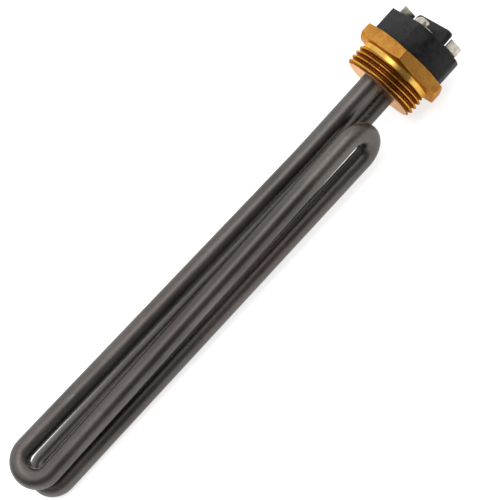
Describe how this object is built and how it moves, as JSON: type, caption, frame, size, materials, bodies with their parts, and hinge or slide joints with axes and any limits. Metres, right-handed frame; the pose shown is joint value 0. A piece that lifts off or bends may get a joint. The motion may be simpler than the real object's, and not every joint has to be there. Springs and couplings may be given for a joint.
{
  "type": "water heater immersion element",
  "caption": "Folded tubular immersion element brazed into a hexagonal brass screw plug, with a black terminal block and two screw terminals.",
  "frame": {"origin": "centre of the gasket face, where the underside of the hexagon meets the axis of the plug", "axes": "+X along the plug's axis out to the terminals, so the heating loop runs to -X; +Z square to the upper hexagon flat; +Y completes the right hand"},
  "size_m": [0.2449, 0.044, 0.0382],
  "materials": {
    "plug_brass": "turned and lightly tarnished",
    "sheath_alloy": "dark oxide, slightly glossy",
    "magnesia": "packed powder",
    "coil_wire": "fine wire",
    "block_plastic": "moulded thermoset",
    "potting_resin": "cast resin",
    "pin_steel": "drawn",
    "seal_rubber": "moulded",
    "bush_ceramic": "fired",
    "braze_metal": "brazed",
    "terminal_plate": "tin plated"
  },
  "bodies": {
    "root": {"screw_plug": "plug_brass", "element_sheath": "sheath_alloy", "magnesia_fill": "magnesia", "resistance_coil": "coil_wire", "terminal_block": "block_plastic", "potting": "potting_resin", "cold_pin_upper": "pin_steel", "cold_pin_lower": "pin_steel", "end_seal_upper": "seal_rubber", "end_seal_lower": "seal_rubber", "end_bush_upper": "bush_ceramic", "end_bush_lower": "bush_ceramic", "braze_ring_upper": "braze_metal", "braze_ring_lower": "braze_metal", "terminal_strip_upper": "terminal_plate", "terminal_strip_lower": "terminal_plate", "collar_nut_upper": "terminal_plate", "collar_nut_lower": "terminal_plate"}
  },
  "joints": []
}
